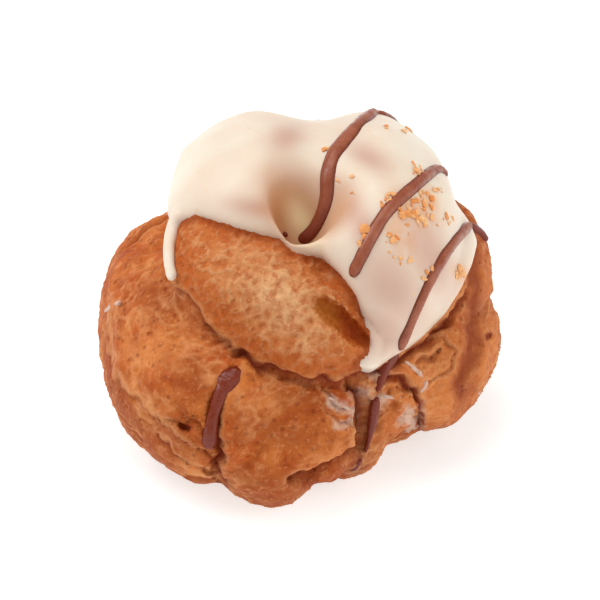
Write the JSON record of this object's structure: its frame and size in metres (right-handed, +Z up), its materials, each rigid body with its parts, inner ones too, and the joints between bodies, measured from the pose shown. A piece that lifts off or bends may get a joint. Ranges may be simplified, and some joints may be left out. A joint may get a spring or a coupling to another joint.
{
  "type": "cream puff",
  "caption": "Choux cream puff: a browned bun burst open at its front, under white icing with thin chocolate stripes.",
  "frame": {"origin": "middle of the flat foot that the bun stands on", "axes": "+Z up, -Y to the burst front that the picture shows, +X to the right as seen from that front"},
  "size_m": [0.0601, 0.0562, 0.0465],
  "materials": {
    "baked_choux": "matt baked crust",
    "white_icing": "set glaze with a soft sheen"
  },
  "bodies": {
    "root": {"choux_bun": "baked_choux", "white_icing": "white_icing"}
  },
  "joints": []
}
